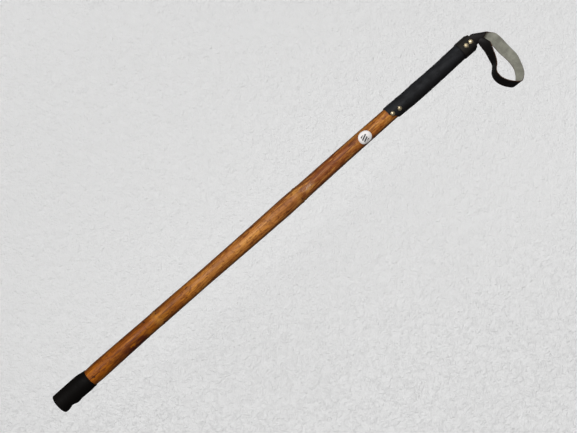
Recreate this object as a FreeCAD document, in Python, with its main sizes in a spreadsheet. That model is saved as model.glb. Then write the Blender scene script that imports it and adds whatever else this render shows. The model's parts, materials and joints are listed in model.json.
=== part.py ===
import FreeCAD, Part
import math
import os

import Sketcher

# Walking stick of natural cane: leather grip, wrist strap, rubber ferrule.
# Frame: +Z up the stick, origin at the centre of the ferrule's flat foot, -Y is the
# front, where the tacks are, and the strap's loop lies towards +X. Millimetres.

SIZES = {
    "foot_radius": 16.6,            # cane just above the ferrule
    "spigot_radius": 14.95,         # cane end inside the ferrule
    "spigot_bottom": 13.7,
    "spigot_top": 58,
    "shoulder_top": 86,
    "lower_waist_radius": 14.75,    # first internode, just under the lower growth node
    "lower_waist_height": 217,
    "lower_node_radius": 15.1,
    "lower_node_height": 232.5,
    "middle_radius": 14.4,          # thinnest place between the two growth nodes
    "middle_height": 340,
    "upper_swell_radius": 15.9,
    "upper_swell_height": 529,
    "upper_node_radius": 15.1,
    "upper_node_height": 557,
    "neck_radius": 14.5,            # cane just above the upper growth node
    "neck_height": 567,
    "top_radius": 13.1,
    "grip_seat_height": 761,
    "wood_top": 957,
    "wrap_bottom": 766,
    "wrap_inside": 13.15,
    "wrap_outside": 15,
    "hem_rise": 15,                 # how much higher the hem is at the right than at the front
    "cut_margin": 4,                # how far cutting tools reach beyond what they cut
    "tail_thick": 1.6,              # thickness of the strap leather
    "tail_gap": 0.06,
    "tail_bottom": 936,
    "tail_top": 965.2,
    "strap_wide": 22,
    "strap_clearance": 8.4,         # room for the strap's bend between the band and the loop
    "band_bottom": 933,
    "band_top": 960,
    "band_thick": 0.95,
    "disc_bottom": 957.05,
    "disc_thick": 2.2,
    "disc_radius": 14.9,
    "dome_radius": 4,
    "dome_rise": 2.2,
    "shank_radius": 0.9,
    "shank_long": 12,
    "shank_point": 3,
    "shank_clearance": 0.08,
    "hem_tack_1_height": 771.9,
    "hem_tack_1_angle": 11.7,
    "hem_tack_2_height": 787,
    "hem_tack_2_angle": 17.6,
    "strap_tack_1_height": 944.5,
    "strap_tack_1_angle": -2.6,
    "strap_tack_2_height": 954.8,
    "strap_tack_2_angle": -2.6,
    "label_height": 708.7,
    "label_radius": 12.5,
    "label_seat": 13.75,            # inside radius of the label's curve round the cane
    "label_thick": 0.25,
    "label_angle": 10.8,            # how far round to the right of the front
    "ferrule_radius": 18.3,
    "ferrule_foot_radius": 16.9,
    "ferrule_foot_edge": 3.2,       # height of the worn bottom edge
    "ferrule_body_top": 56,
    "ferrule_mouth_radius": 17.3,
    "ferrule_lip_thick": 1,
    "ferrule_lip_round": 0.06,      # how much lower the lip's inner edge is
    "ferrule_top": 72,
    "ferrule_bore": 15.05,
    "ferrule_bore_bottom": 12,
    "tread_groove_wide": 2,
    "tread_groove_deep": 1.5,
    "tread_inner": 5,
    "tread_outer": 10.5,
    "notch_height": 17,
    "notch_radius": 7,
    "notch_deep": 1.6,
    "washer_radius": 14.5,
    "washer_hole": 3.2,
    "washer_thick": 1.55,
    "washer_bottom": 12.05,
}

doc = FreeCAD.newDocument("WalkingStick")
sheet = doc.addObject("Spreadsheet::Sheet", "Sizes")
for row, (alias, size) in enumerate(SIZES.items(), start=1):
    sheet.set(f"A{row}", alias)
    sheet.set(f"B{row}", str(size))
    sheet.setAlias(f"B{row}", alias)
doc.recompute()

FRONT = FreeCAD.Vector(0, -1, 0)
UP = FreeCAD.Vector(0, 0, 1)
PARTS = []


def size(*aliases):
    """Sum of sheet cells; an alias that starts with - is taken away."""
    return sum(-sheet.get(a[1:]) if a[0] == "-" else sheet.get(a) for a in aliases)


def formula(*aliases):
    """The same sum as an expression."""
    terms = [f"- Sizes.{a[1:]}" if a[0] == "-" else f"+ Sizes.{a}" for a in aliases]
    return " ".join(terms).lstrip("+ ")


def sub_part(label, shape_object):
    """Names an object as one sub-part of the stick."""
    shape_object.Label = label
    PARTS.append(shape_object)
    return shape_object


def plane(body, role):
    """One of a body's own origin planes."""
    return next(f for f in body.Origin.OriginFeatures if f.Role == role)


def turned(name, outline):
    """A body turned about Z. The outline is a closed loop of (radius cells, height cells).

    A point without radius cells is on the axis, and one without height cells at the foot."""
    body = doc.addObject("PartDesign::Body", name)
    sketch = body.newObject("Sketcher::SketchObject", name + "_outline")
    sketch.AttachmentSupport = [(plane(body, "XZ_Plane"), "")]
    sketch.MapMode = "FlatFace"
    spots = [FreeCAD.Vector(size(*r) if r else 0, size(*z) if z else 0, 0) for r, z in outline]
    count = len(outline)
    for i in range(count):
        sketch.addGeometry(Part.LineSegment(spots[i], spots[(i + 1) % count]))
    for i in range(count):
        sketch.addConstraint(Sketcher.Constraint("Coincident", i, 2, (i + 1) % count, 1))
    for i, (radius, height) in enumerate(outline):
        for kind, cells in (("DistanceX", radius), ("DistanceY", height)):
            if cells:
                number = sketch.addConstraint(Sketcher.Constraint(kind, -1, 1, i, 1, size(*cells)))
                sketch.setExpression(f"Constraints[{number}]", formula(*cells))
            else:
                axis = -2 if kind == "DistanceX" else -1
                sketch.addConstraint(Sketcher.Constraint("PointOnObject", i, 1, axis))
    turn = body.newObject("PartDesign::Revolution", name + "_turn")
    turn.Profile = sketch
    turn.ReferenceAxis = (sketch, ["V_Axis"])
    turn.Angle = 360
    body.Tip = turn
    doc.recompute()
    return body


def cylinder(name, radius, height, bottom=None):
    """A round bar or drill on the Z axis, sized from cells."""
    bar = doc.addObject("Part::Cylinder", name)
    bar.setExpression("Radius", formula(*radius))
    bar.setExpression("Height", formula(*height))
    if bottom:
        bar.setExpression("Placement.Base.z", formula(*bottom))
    return bar


def cut(name, base, tools):
    """A base with one or more tools taken away."""
    tool = tools[0]
    if len(tools) > 1:
        tool = doc.addObject("Part::MultiFuse", name + "_tools")
        tool.Shapes = tools
    result = doc.addObject("Part::Cut", name)
    result.Base = base
    result.Tool = tool
    doc.recompute()
    return result


def facing(angle_cell, height_cell):
    """Placement at a tack's height with local Z pointing outwards from the front of the stick."""
    around = FreeCAD.Rotation(UP, sheet.get(angle_cell))
    outwards = FreeCAD.Rotation(UP, FRONT)
    return FreeCAD.Placement(FreeCAD.Vector(0, 0, sheet.get(height_cell)), around.multiply(outwards))


def tack_drill(name, tack_name):
    """A clearance hole for one tack's shank, from the stick's axis outwards."""
    drill = cylinder(name, ("shank_radius", "shank_clearance"), ("ferrule_radius", "cut_margin"))
    drill.Placement = facing(tack_name + "_angle", tack_name + "_height")
    drill.setExpression("Placement.Base.z", formula(tack_name + "_height"))
    return drill


def tack_drills(name, tacks):
    return [tack_drill(f"{name}_drill_{n}", tack_name) for n, tack_name in enumerate(tacks)]


def tack(name, tack_name, seat):
    """One domed tack, its flat underside at the seat radius and its shank pointing inwards."""
    dome_radius = sheet.get("dome_radius")
    dome_rise = sheet.get("dome_rise")
    shank = sheet.get("shank_radius")
    bottom = seat - sheet.get("shank_long")
    ball = (dome_radius ** 2 + dome_rise ** 2) / (2 * dome_rise)
    rim_angle = math.asin(dome_radius / ball)
    half = rim_angle / 2
    rim = FreeCAD.Vector(dome_radius, 0, seat)
    crown = FreeCAD.Vector(ball * math.sin(half), 0, seat + dome_rise - ball * (1 - math.cos(half)))
    top = FreeCAD.Vector(0, 0, seat + dome_rise)
    point = FreeCAD.Vector(0, 0, bottom)
    neck = FreeCAD.Vector(shank, 0, bottom + sheet.get("shank_point"))
    under = FreeCAD.Vector(shank, 0, seat)
    edges = [
        Part.makeLine(top, point),
        Part.makeLine(point, neck),
        Part.makeLine(neck, under),
        Part.makeLine(under, rim),
        Part.Arc(rim, crown, top).toShape(),
    ]
    solid = Part.Face(Part.Wire(edges)).revolve(FreeCAD.Vector(0, 0, 0), UP, 360)
    feature = doc.addObject("Part::Feature", name)
    feature.Shape = solid if solid.Volume > 0 else solid.reversed()
    feature.Placement = facing(tack_name + "_angle", tack_name + "_height")
    return feature


def sector(name, inside, outside, half_angle, bottom, top):
    """A curved leather tongue: part of a ring, centred on the front."""
    start = FreeCAD.Rotation(UP, -90 - half_angle)
    ring = Part.makeCylinder(outside, top - bottom, FreeCAD.Vector(0, 0, bottom), UP, 2 * half_angle)
    bore = Part.makeCylinder(inside, top - bottom, FreeCAD.Vector(0, 0, bottom), UP, 360)
    feature = doc.addObject("Part::Feature", name)
    feature.Shape = ring.cut(bore)
    feature.Placement = FreeCAD.Placement(FreeCAD.Vector(0, 0, 0), start)
    return feature


# ---- cane shaft ----
HEM_TACKS = ("hem_tack_1", "hem_tack_2")
STRAP_TACKS = ("strap_tack_1", "strap_tack_2")


def make_shaft():
    """Solid cane with two growth nodes, whittled down at the foot for the ferrule."""
    cane = turned("Cane", [
        ((), ("spigot_bottom",)),
        (("spigot_radius",), ("spigot_bottom",)),
        (("spigot_radius",), ("spigot_top",)),
        (("foot_radius",), ("shoulder_top",)),
        (("lower_waist_radius",), ("lower_waist_height",)),
        (("lower_node_radius",), ("lower_node_height",)),
        (("middle_radius",), ("middle_height",)),
        (("upper_swell_radius",), ("upper_swell_height",)),
        (("upper_node_radius",), ("upper_node_height",)),
        (("neck_radius",), ("neck_height",)),
        (("top_radius",), ("grip_seat_height",)),
        (("top_radius",), ("wood_top",)),
        ((), ("wood_top",)),
    ])
    sub_part("shaft", cut("Shaft", cane, tack_drills("Shaft", HEM_TACKS + STRAP_TACKS)))


# ---- leather of the grip ----
def make_grip_wrap():
    """Leather round the cane, its lower hem rising towards the right."""
    sleeve = cut(
        "WrapSleeve",
        cylinder("WrapOutside", ("wrap_outside",), ("wood_top", "-wrap_bottom"), ("wrap_bottom",)),
        [cylinder("WrapInside", ("wrap_inside",), ("wood_top", "-wrap_bottom"), ("wrap_bottom",))],
    )
    hem = doc.addObject("Part::Wedge", "HemCut")
    for low, high, cells in (
        ("Xmin", "Xmax", ("wrap_outside", "cut_margin")),
        ("Ymin", "Ymax", ("hem_rise",)),
    ):
        setattr(hem, low, 0)
        hem.setExpression(high, formula(*cells))
    hem.Zmin = 0
    hem.setExpression("Zmax", formula("wrap_outside", "wrap_outside", "cut_margin"))
    hem.setExpression("X2min", formula("wrap_outside"))
    hem.setExpression("X2max", formula("wrap_outside", "cut_margin"))
    hem.Z2min = 0
    hem.setExpression("Z2max", formula("wrap_outside", "wrap_outside", "cut_margin"))
    hem.Placement = FreeCAD.Placement(
        FreeCAD.Vector(0, sheet.get("wrap_outside") + sheet.get("cut_margin") / 2, 0),
        FreeCAD.Rotation(FreeCAD.Vector(1, 0, 0), 90),
    )
    hem.setExpression("Placement.Base.z", formula("wrap_bottom"))
    sub_part("grip_wrap", cut("GripWrap", sleeve, [hem] + tack_drills("Wrap", HEM_TACKS + STRAP_TACKS)))


def make_end_disc():
    """Leather disc over the sawn top of the cane."""
    sub_part("end_disc", cylinder("EndDisc", ("disc_radius",), ("disc_thick",), ("disc_bottom",)))


def tail_layer(layer):
    """Inside and outside radius of a strap tail, layer 0 being next to the grip."""
    inside = sheet.get("wrap_outside") + sheet.get("tail_gap")
    inside += layer * (sheet.get("tail_thick") + sheet.get("tail_gap"))
    return inside, inside + sheet.get("tail_thick")


def tail_half_angle(layer):
    return math.degrees(sheet.get("strap_wide") / 2 / (sum(tail_layer(layer)) / 2))


def make_strap_tails():
    """The strap's two nailed ends, one over the other."""
    for layer, label in enumerate(("strap_back_tail", "strap_front_tail")):
        name = label.title().replace("_", "")
        inside, outside = tail_layer(layer)
        tongue = sector(
            name + "Tongue", inside, outside, tail_half_angle(layer),
            sheet.get("tail_bottom"), sheet.get("tail_top"),
        )
        sub_part(label, cut(name, tongue, tack_drills(name, STRAP_TACKS)))


def band_wire(clearance):
    """Outline of leather pulled tight round the grip and over both strap tails."""
    back = sheet.get("wrap_outside") + clearance
    front = tail_layer(1)[1] + clearance
    edge = math.radians(tail_half_angle(1))
    touch = edge + math.acos(back / front)

    def at(radius, angle):
        return FreeCAD.Vector(radius * math.sin(angle), -radius * math.cos(angle), 0)

    return Part.Wire([
        Part.Arc(at(front, -edge), at(front, 0), at(front, edge)).toShape(),
        Part.makeLine(at(front, edge), at(back, touch)),
        Part.Arc(at(back, touch), at(back, math.pi), at(back, -touch)).toShape(),
        Part.makeLine(at(back, -touch), at(front, -edge)),
    ])


def make_top_band():
    """Short leather band that covers the strap tails and the top of the grip."""
    gap = sheet.get("tail_gap")
    length = sheet.get("band_top") - sheet.get("band_bottom")
    inner = band_wire(gap)
    outer = inner.makeOffset2D(sheet.get("band_thick"))
    ring = Part.Face(Part.Wire(outer.Edges)).extrude(UP * length)
    core = Part.Face(inner).extrude(UP * length)
    blank = doc.addObject("Part::Feature", "BandBlank")
    blank.Shape = ring.cut(core)
    blank.Placement = FreeCAD.Placement(UP * sheet.get("band_bottom"), FreeCAD.Rotation())
    sub_part("top_band", cut("TopBand", blank, tack_drills("Band", STRAP_TACKS)))


# ---- tacks ----
def make_tacks():
    """Two tacks hold the hem of the grip and two go through the band and strap."""
    gap = sheet.get("tail_gap")
    hem_seat = sheet.get("wrap_outside") + gap
    strap_seat = tail_layer(1)[1] + 2 * gap + sheet.get("band_thick")
    for label, tacks, seat in (
        ("hem_tacks", HEM_TACKS, hem_seat),
        ("strap_tacks", STRAP_TACKS, strap_seat),
    ):
        pair = doc.addObject("Part::Compound", label.title().replace("_", ""))
        pair.Links = [tack(f"{label}_{n}", name, seat) for n, name in enumerate(tacks, start=1)]
        sub_part(label, pair)


# ---- wrist strap ----
def strap_rulings():
    """(left edge, right edge) of the strap, left and right being those of its front leg.

    Measured from the front leg's root, where it comes out of the band."""
    fold_backwards = [
        ((-12, 0, 0), (10, 0, 0)),
        ((-11.8, -0.3, 0.8), (9.8, -0.6, 8)),
        ((-11, 0.2, 1.6), (8.2, -0.6, 16)),
        ((-10, 3.2, 2.2), (7.8, 2.4, 22)),
        ((-9, 7.4, 2.8), (11.8, 7.2, 26.5)),
        ((-1, 8.8, 4.4), (17.5, 8.8, 30.4)),
    ]
    far_side = [
        ((12, 9, 8.8), (24, 9.4, 33)),
        ((22, 9.6, 12.2), (31, 10, 34)),
        ((33, 10.5, 13), (41, 11.5, 34.5)),
        ((48, 11.5, 13.5), (55, 12.5, 35.3)),
        ((61, 12, 15.2), (69, 13, 36)),
        ((74.3, 12, 15.6), (83, 12.5, 32.6)),
        ((86, 11, 13.6), (94.5, 10, 27.8)),
    ]
    turn_back = [
        ((96, 9, 7.8), (102.5, 5.5, 22)),
        ((103.5, 6, 0.5), (107.3, -0.5, 14)),
        ((107.8, 2, -5.5), (108.9, -8, 7.5)),
        ((106.8, 0.5, -11.5), (105.5, -13, 0.5)),
    ]
    near_side = [
        ((100.2, 1.5, -17.3), (97.5, -14.8, -7.6)),
        ((92, 2.5, -22.4), (89, -15.3, -13.5)),
        ((83, 3, -25.2), (80.5, -15.5, -17)),
        ((73.6, 3.4, -25.2), (73.4, -16, -17.8)),
        ((66, 4.2, -22), (67.6, -16.6, -17)),
        ((59.6, 5, -15.2), (62.6, -16.8, -14)),
        ((51.5, 3.6, -10.6), (50.4, -15.6, -3.1)),
        ((42.6, 2.6, -9), (42.3, -15.2, 0.6)),
        ((29.6, 2.2, -6.6), (31, -13.8, 5.4)),
        ((18.5, 2.6, -3.2), (22, -10.5, 9.6)),
    ]
    layer_apart = sheet.get("tail_thick") + sheet.get("tail_gap")
    fold_downwards = [
        ((5, 3.2, 0.6), (15.6, -4.5, 9.6)),
        ((-6.8, 2.4, 1.6), (7.6, 1.8, 9.4)),
        ((-7.2, 4, 2.4), (7.6, 3.6, 10.6)),
        ((-7.8, 5.2, 2.2), (8.4, 5, 7)),
        ((-10, 3.6, 1), (9.6, 3.5, 1.8)),
        ((-12, layer_apart, 0), (10, layer_apart, 0)),
    ]
    root = FreeCAD.Vector(
        0, -sum(tail_layer(1)) / 2, sheet.get("band_top") + sheet.get("strap_clearance")
    )
    return [
        (root + FreeCAD.Vector(*left), root + FreeCAD.Vector(*right))
        for left, right in fold_backwards + far_side + turn_back + near_side + fold_downwards
    ]


def spline_point(points, t):
    """Catmull-Rom curve through the points; t runs from 0 to the last point's number."""
    last = len(points) - 1
    i = min(int(t), last - 1)
    f = t - i
    p0 = points[max(i - 1, 0)]
    p1 = points[i]
    p2 = points[i + 1]
    p3 = points[min(i + 2, last)]
    return (
        p1 * 2
        + (p2 - p0) * f
        + (p0 * 2 - p1 * 5 + p2 * 4 - p3) * f ** 2
        + (p1 * 3 - p0 - p2 * 3 + p3) * f ** 3
    ) * 0.5


def make_strap_loop():
    """One flat strap from the front leg, over its diagonal fold, round the hand's opening and back."""
    sections_per_ruling = 2
    nearby = 0.01                   # part of a ruling's spacing over which the strap's direction is taken
    half_thick = sheet.get("tail_thick") / 2
    rulings = strap_rulings()
    lefts = [left for left, right in rulings]
    rights = [right for left, right in rulings]
    last = len(rulings) - 1

    def middle(t):
        return (spline_point(lefts, t) + spline_point(rights, t)) / 2

    sections = []
    for n in range(last * sections_per_ruling + 1):
        t = n / sections_per_ruling
        left = spline_point(lefts, t)
        right = spline_point(rights, t)
        along = middle(min(t + nearby, last)) - middle(max(t - nearby, 0))
        thick = along.cross(left - right).normalize() * half_thick
        corners = [left + thick, right + thick, right - thick, left - thick]
        sections.append(Part.makePolygon(corners + corners[:1]))
    loop = doc.addObject("Part::Feature", "StrapLoop")
    loop.Shape = Part.makeLoft(sections, True, True)
    sub_part("strap_loop", loop)


# ---- label ----
def make_label():
    """Round paper label bent round the front of the cane."""
    seat = sheet.get("label_seat")
    paper = seat + sheet.get("label_thick")
    reach = sheet.get("label_radius")
    punch = Part.makeCylinder(reach, 2 * seat, FreeCAD.Vector(0, 0, 0), FRONT)
    tube = Part.makeCylinder(paper, 2 * reach, FreeCAD.Vector(0, 0, -reach), UP)
    bore = Part.makeCylinder(seat, 2 * reach, FreeCAD.Vector(0, 0, -reach), UP)
    label = doc.addObject("Part::Feature", "PaperLabel")
    label.Shape = tube.cut(bore).common(punch)
    around = FreeCAD.Rotation(UP, sheet.get("label_angle"))
    label.Placement = FreeCAD.Placement(UP * sheet.get("label_height"), around)
    sub_part("label", label)


# ---- ferrule ----
def make_ferrule():
    """Rubber ferrule with a blind bore, two tread grooves under the foot and a worn notch at the right."""
    outline = [
        ((), ("ferrule_bore_bottom",)),
        (("ferrule_bore",), ("ferrule_bore_bottom",)),
        (("ferrule_bore",), ("spigot_top",)),
        (("ferrule_mouth_radius", "-ferrule_lip_thick"), ("ferrule_top", "-ferrule_lip_round")),
        (("ferrule_mouth_radius",), ("ferrule_top",)),
        (("ferrule_radius",), ("ferrule_body_top",)),
        (("ferrule_radius",), ("ferrule_foot_edge",)),
        (("ferrule_foot_radius",), ()),
        ((), ()),
    ]
    rubber = turned("Rubber", outline)
    grooves = []
    for name, radius in (("Inner", "tread_inner"), ("Outer", "tread_outer")):
        ring = cylinder(name + "GrooveOutside", (radius, "tread_groove_wide"), ("tread_groove_deep",))
        core = cylinder(name + "GrooveInside", (radius,), ("tread_groove_deep",))
        grooves.append(cut(name + "Groove", ring, [core]))
    notch = cylinder("Notch", ("notch_radius",), ("ferrule_radius", "ferrule_radius"))
    notch.Placement = FreeCAD.Placement(
        FreeCAD.Vector(0, sheet.get("ferrule_radius"), 0), FreeCAD.Rotation(UP, FRONT)
    )
    notch.setExpression("Placement.Base.x", formula("ferrule_radius", "notch_radius", "-notch_deep"))
    notch.setExpression("Placement.Base.z", formula("notch_height"))
    sub_part("ferrule", cut("Ferrule", rubber, grooves + [notch]))


def make_ferrule_washer():
    """Steel washer in the ferrule's bore that keeps the cane from punching through."""
    disc = cylinder("WasherDisc", ("washer_radius",), ("washer_thick",), ("washer_bottom",))
    hole = cylinder("WasherHole", ("washer_hole",), ("washer_thick",), ("washer_bottom",))
    sub_part("ferrule_washer", cut("FerruleWasher", disc, [hole]))


make_shaft()
make_grip_wrap()
make_end_disc()
make_strap_tails()
make_top_band()
make_tacks()
make_strap_loop()
make_label()
make_ferrule()
make_ferrule_washer()
doc.recompute()

for item in doc.Objects:
    if "Invalid" in item.State or "Error" in item.State:
        raise RuntimeError(f"{item.Label} failed: {item.State}")
for item in PARTS:
    if item.Shape.isNull() or not item.Shape.isValid() or item.Shape.Volume <= 0:
        raise RuntimeError(f"{item.Label} has no valid shape")

os.makedirs("parts", exist_ok=True)
for item in PARTS:
    item.Shape.exportStep(f"parts/{item.Label}.step")
    print(item.Label, len(item.Shape.Solids), round(item.Shape.Volume), item.Shape.BoundBox)
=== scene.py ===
import json
import math

import bpy
import numpy as np
from mathutils import Matrix, Vector, noise


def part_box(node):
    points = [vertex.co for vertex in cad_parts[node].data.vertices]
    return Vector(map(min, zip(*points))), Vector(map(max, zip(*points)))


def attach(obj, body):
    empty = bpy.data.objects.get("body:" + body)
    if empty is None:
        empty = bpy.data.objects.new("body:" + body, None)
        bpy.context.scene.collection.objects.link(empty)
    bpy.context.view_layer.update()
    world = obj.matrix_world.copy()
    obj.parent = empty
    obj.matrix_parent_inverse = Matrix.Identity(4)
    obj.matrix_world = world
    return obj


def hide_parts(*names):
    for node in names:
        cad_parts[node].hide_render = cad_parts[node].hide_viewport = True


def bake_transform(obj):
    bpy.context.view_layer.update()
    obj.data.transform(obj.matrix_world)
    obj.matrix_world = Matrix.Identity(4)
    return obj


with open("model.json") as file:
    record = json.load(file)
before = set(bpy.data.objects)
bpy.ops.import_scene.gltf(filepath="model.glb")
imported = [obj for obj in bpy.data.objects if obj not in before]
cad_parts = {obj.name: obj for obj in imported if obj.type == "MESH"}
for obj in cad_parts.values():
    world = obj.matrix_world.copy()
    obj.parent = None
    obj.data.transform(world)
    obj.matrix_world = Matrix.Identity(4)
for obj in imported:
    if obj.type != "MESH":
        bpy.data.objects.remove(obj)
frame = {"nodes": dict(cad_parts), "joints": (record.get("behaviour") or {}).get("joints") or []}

# Walking stick of natural cane, stood on its ferrule: +Z up the stick, -Y its front, +X the
# side on which the strap's loop lies. Metres; MM turns a size in millimetres into metres.
MM = 0.001
TURN = 2 * math.pi
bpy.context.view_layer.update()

SHAFT_LOW, SHAFT_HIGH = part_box("shaft")
WRAP_LOW, WRAP_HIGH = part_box("grip_wrap")
BAND_LOW, BAND_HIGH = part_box("top_band")
DISC_LOW, DISC_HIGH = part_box("end_disc")
FRONT_TAIL_LOW, FRONT_TAIL_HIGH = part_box("strap_front_tail")
LABEL_LOW, LABEL_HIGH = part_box("label")
FERRULE_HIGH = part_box("ferrule")[1]

ROOT, STRAP = "stick", "strap"


# ---------------------------------------------------------------- small helpers
def srgb(red, green, blue):
    """A colour given in 0-255 display values, as linear RGBA."""
    def linear(value):
        value /= 255
        return value / 12.92 if value <= 0.04045 else ((value + 0.055) / 1.055) ** 2.4
    return (linear(red), linear(green), linear(blue), 1.0)


def smooth(low, high, value):
    """0 below low, 1 above high, and an S-curve between."""
    part = min(max((value - low) / (high - low), 0.0), 1.0)
    return part * part * (3 - 2 * part)


def bell(distance, width):
    return math.exp(-((distance / width) ** 2))


def angle_gap(a, b):
    """The smallest angle between two directions round the stick."""
    return abs((a - b + math.pi) % TURN - math.pi)


def on_stick(radius, angle, height):
    """A point at an angle from the front (-Y) towards the right (+X)."""
    return Vector((radius * math.sin(angle), -radius * math.cos(angle), height))


def wander(angle, height, round_scale, long_scale, seed):
    """Smooth noise on the stick's surface, without a seam."""
    return noise.noise(Vector((
        math.sin(angle) * round_scale + seed,
        math.cos(angle) * round_scale,
        height * long_scale,
    )))


def steps(low, high, count):
    return [low + (high - low) * i / count for i in range(count + 1)]


def skin(name, rows, closed=True, cap_start=False, cap_end=False):
    """A mesh through rows of points; each row is a ring when closed."""
    across = len(rows[0])
    points = [tuple(p) for row in rows for p in row]
    faces = []
    for i in range(len(rows) - 1):
        here, after = i * across, (i + 1) * across
        for j in range(across if closed else across - 1):
            k = (j + 1) % across
            faces.append((here + j, here + k, after + k, after + j))
    if cap_start:
        faces.append(tuple(reversed(range(across))))
    if cap_end:
        faces.append(tuple(range(len(points) - across, len(points))))
    mesh = bpy.data.meshes.new(name)
    mesh.from_pydata(points, [], faces)
    mesh.polygons.foreach_set("use_smooth", [True] * len(mesh.polygons))
    mesh.update()
    piece = bpy.data.objects.new(name, mesh)
    bpy.context.scene.collection.objects.link(piece)
    return piece


def placed(piece, body, slot, *nodes):
    """Puts a finished piece on its body in place of the CAD nodes it stands for."""
    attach(piece, body)
    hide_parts(*nodes)
    return piece


# ---------------------------------------------------------------- node materials
class Paint:
    """One procedural material, with short calls for the nodes it needs."""

    def __init__(self, name):
        self.material = bpy.data.materials.new(name)
        self.material.use_nodes = True
        self.tree = self.material.node_tree
        self.shader = self.tree.nodes["Principled BSDF"]
        self.place = self.node("ShaderNodeTexCoord").outputs["Object"]

    def node(self, kind, **settings):
        made = self.tree.nodes.new(kind)
        for key, value in settings.items():
            setattr(made, key, value)
        return made

    def put(self, socket, value):
        if isinstance(value, bpy.types.NodeSocket):
            self.tree.links.new(value, socket)
        else:
            socket.default_value = value

    def stretched(self, scale, shift=(0, 0, 0)):
        mapping = self.node("ShaderNodeMapping")
        self.put(mapping.inputs["Vector"], self.place)
        mapping.inputs["Scale"].default_value = scale
        mapping.inputs["Location"].default_value = shift
        return mapping.outputs[0]

    def cloud(self, scale, detail=4.0, rough=0.55, shift=(0, 0, 0), twist=0.0):
        """Noise from 0 to 1; scale is per metre along X, Y and Z."""
        made = self.node("ShaderNodeTexNoise")
        self.put(made.inputs["Vector"], self.stretched(scale, shift))
        made.inputs["Scale"].default_value = 1.0
        made.inputs["Detail"].default_value = detail
        made.inputs["Roughness"].default_value = rough
        made.inputs["Distortion"].default_value = twist
        return made.outputs["Fac"]

    def cells(self, scale, feature="F1", shift=(0, 0, 0)):
        """Distances in a pattern of cells, scale of them to the metre."""
        made = self.node("ShaderNodeTexVoronoi", feature=feature)
        self.put(made.inputs["Vector"], self.stretched((scale,) * 3, shift))
        made.inputs["Scale"].default_value = 1.0
        return made.outputs["Distance"]

    def sum(self, kind, first, second=0.0, third=None):
        made = self.node("ShaderNodeMath", operation=kind)
        self.put(made.inputs[0], first)
        self.put(made.inputs[1], second)
        if third is not None:
            self.put(made.inputs[2], third)
        return made.outputs[0]

    def axis(self, letter):
        made = self.node("ShaderNodeSeparateXYZ")
        self.put(made.inputs[0], self.place)
        return made.outputs[letter]

    def between(self, value, low, high, low_out=0.0, high_out=1.0):
        """Maps low..high to low_out..high_out, held at the ends."""
        made = self.node("ShaderNodeMapRange", interpolation_type="SMOOTHSTEP")
        self.put(made.inputs["Value"], value)
        made.inputs["From Min"].default_value = low
        made.inputs["From Max"].default_value = high
        made.inputs["To Min"].default_value = low_out
        made.inputs["To Max"].default_value = high_out
        return made.outputs[0]

    def near(self, value, centre, reach):
        """1 at the centre and 0 beyond reach on both sides."""
        away = self.sum("ABSOLUTE", self.sum("SUBTRACT", value, centre))
        return self.between(away, 0.0, reach, 1.0, 0.0)

    def mix(self, amount, first, second, blend="MIX"):
        made = self.node("ShaderNodeMix", data_type="RGBA", blend_type=blend)
        self.put(made.inputs[0], amount)
        self.put(made.inputs[6], first)
        self.put(made.inputs[7], second)
        return made.outputs[2]

    def ramp(self, value, stops):
        """Colours at positions from 0 to 1."""
        made = self.node("ShaderNodeValToRGB")
        self.put(made.inputs[0], value)
        band = made.color_ramp
        for i, (place, colour) in enumerate(stops):
            element = band.elements[i] if i < 2 else band.elements.new(place)
            element.position = place
            element.color = colour
        return made.outputs[0]

    def bump(self, height, strength, distance, under=None):
        made = self.node("ShaderNodeBump")
        made.inputs["Strength"].default_value = strength
        made.inputs["Distance"].default_value = distance
        self.put(made.inputs["Height"], height)
        if under is not None:
            self.put(made.inputs["Normal"], under)
        return made.outputs[0]

    def finish(self, **values):
        names = {
            "colour": "Base Color", "rough": "Roughness", "metal": "Metallic", "normal": "Normal",
            "coat": "Coat Weight", "coat_rough": "Coat Roughness", "sheen": "Sheen Weight",
            "sheen_rough": "Sheen Roughness", "shine": "Specular IOR Level",
        }
        for key, value in values.items():
            self.put(self.shader.inputs[names[key]], value)
        return self.material


# ---------------------------------------------------------------- the cane's shape
def cad_rings():
    """(height, radius) of the turned cane's rings below the grip, from the CAD shaft."""
    rings = {}
    for vertex in frame["nodes"]["shaft"].data.vertices:
        height = round(vertex.co.z, 4)
        if height < WRAP_LOW.z:
            rings[height] = max(rings.get(height, 0.0), math.hypot(vertex.co.x, vertex.co.y))
    return sorted(rings.items())


LEAST_RADIUS = 5 * MM               # leaves out the middle points of the CAD cane's end faces
RINGS = [ring for ring in cad_rings() if ring[1] > LEAST_RADIUS]
RING_HEIGHTS = [height for height, radius in RINGS]
RING_RADII = [radius for height, radius in RINGS]
GRIP_RADIUS = RING_RADII[-1]


def find_growth_nodes():
    """Heights of the growth nodes: the lower is a swelling, the upper the top of the steepest drop."""
    inner = range(1, len(RINGS) - 1)
    swellings = [
        RING_HEIGHTS[i] for i in inner
        if RING_RADII[i - 1] < RING_RADII[i] > RING_RADII[i + 1]
    ]
    drops = [
        ((RING_RADII[i] - RING_RADII[i + 1]) / (RING_HEIGHTS[i + 1] - RING_HEIGHTS[i]), RING_HEIGHTS[i])
        for i in inner if RING_HEIGHTS[i] > swellings[1]
    ]
    return swellings[1], max(drops)[1]


LOWER_NODE, UPPER_NODE = find_growth_nodes()
SOFTEN = 9 * MM                     # how far the cane's changes of width are rounded off


def cane_radius(height):
    """The turned profile with its corners softened."""
    near = [height + SOFTEN * k for k in (-1.0, -0.5, 0.0, 0.5, 1.0)]
    radii = np.interp(near, RING_HEIGHTS, RING_RADII)
    return float(np.dot(radii, (0.1, 0.22, 0.36, 0.22, 0.1)))


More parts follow.
